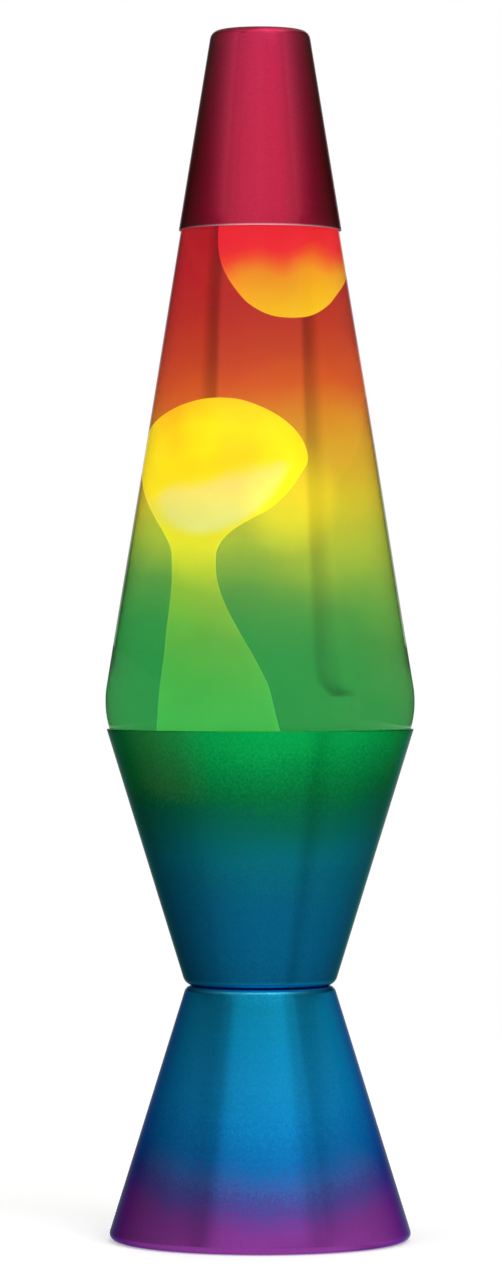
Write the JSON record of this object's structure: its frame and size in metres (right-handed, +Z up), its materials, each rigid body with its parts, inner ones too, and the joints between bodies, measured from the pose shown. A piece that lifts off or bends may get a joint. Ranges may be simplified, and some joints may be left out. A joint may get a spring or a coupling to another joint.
{
  "type": "liquid motion lamp",
  "caption": "Table lamp with a tapered liquid-filled glass globe of drifting wax under a conical cap, standing in a spun double-cone base with a bulb below.",
  "frame": {"origin": "on the floor under the lamp's axis, at the plane of the foot hem", "axes": "+Z up the lamp's axis, -Y to the front that the picture shows, +X to that view's right"},
  "size_m": [0.0942, 0.0942, 0.3683],
  "materials": {
    "stand_paint": "blue to violet metallic lacquer on spun aluminium",
    "holder_paint": "green to blue metallic lacquer on spun aluminium",
    "cap_paint": "raspberry metallic lacquer on spun aluminium",
    "globe_glass": "clear glass under a red to green translucent coat",
    "liquid": "clear liquid",
    "wax": "soft wax",
    "hardboard": "matte",
    "felt": "matte",
    "black_rubber": "satin",
    "zinc_steel": "zinc plated",
    "rivet_aluminium": "satin",
    "phenolic": "satin",
    "brass": "satin",
    "bronze": "satin",
    "solder": "dull",
    "black_glass": "gloss",
    "bulb_glass": "clear",
    "lead_wire": "satin",
    "tungsten": "glowing",
    "liner_plastic": "matte",
    "crown_tinplate": "tinplate",
    "coil_steel": "bright wire"
  },
  "bodies": {
    "base": {"stand_cone": "stand_paint", "holder_cone": "holder_paint", "bottom_board": "hardboard", "felt_pad": "felt", "cord_grommet": "black_rubber", "socket_bracket": "zinc_steel", "bracket_rivets": "rivet_aluminium", "socket_body": "phenolic", "socket_shell": "brass", "terminal_plates": "brass", "terminal_screws": "brass", "socket_pipe": "zinc_steel", "pipe_washer": "zinc_steel", "pipe_nut": "zinc_steel"},
    "contact": {"centre_contact": "bronze"},
    "bulb": {"bulb_eyelet": "solder", "bulb_insulator": "black_glass", "bulb_base": "brass", "bulb_envelope": "bulb_glass", "bulb_stem": "bulb_glass", "bulb_leads": "lead_wire", "filament": "tungsten"},
    "globe": {"globe_bottle": "globe_glass", "crown_liner": "liner_plastic", "crown_cap": "crown_tinplate", "heating_coil": "coil_steel", "wax_column": "wax", "liquid": "liquid"},
    "drifting_wax": {"wax_blob": "wax"},
    "cap": {"cap_cone": "cap_paint"}
  },
  "joints": [
    {"name": "globe_lift", "type": "slide", "parent": "base", "child": "globe", "axis": [0, 0, 1], "range_m": [0, 0.08]},
    {"name": "cap_lift", "type": "slide", "parent": "globe", "child": "cap", "axis": [0, 0, 1], "range_m": [0, 0.08]},
    {"name": "wax_drift", "type": "slide", "parent": "globe", "child": "drifting_wax", "axis": [0, 0, 1], "range_m": [-0.022, 0.004], "deforming": ["liquid"]},
    {"name": "contact_travel", "type": "slide", "parent": "base", "child": "contact", "axis": [0, 0, 1], "range_m": [0, 0.00284]},
    {"name": "bulb_unscrew", "type": "hinge", "parent": "contact", "child": "bulb", "pos_m": [0, 0, 0.0611], "axis": [0, 0, 1], "range_deg": [0, 360]}
  ],
  "couplings": [
    {"joint": "contact_travel", "follows": "bulb_unscrew", "m_per_rad": 0.00044882}
  ]
}
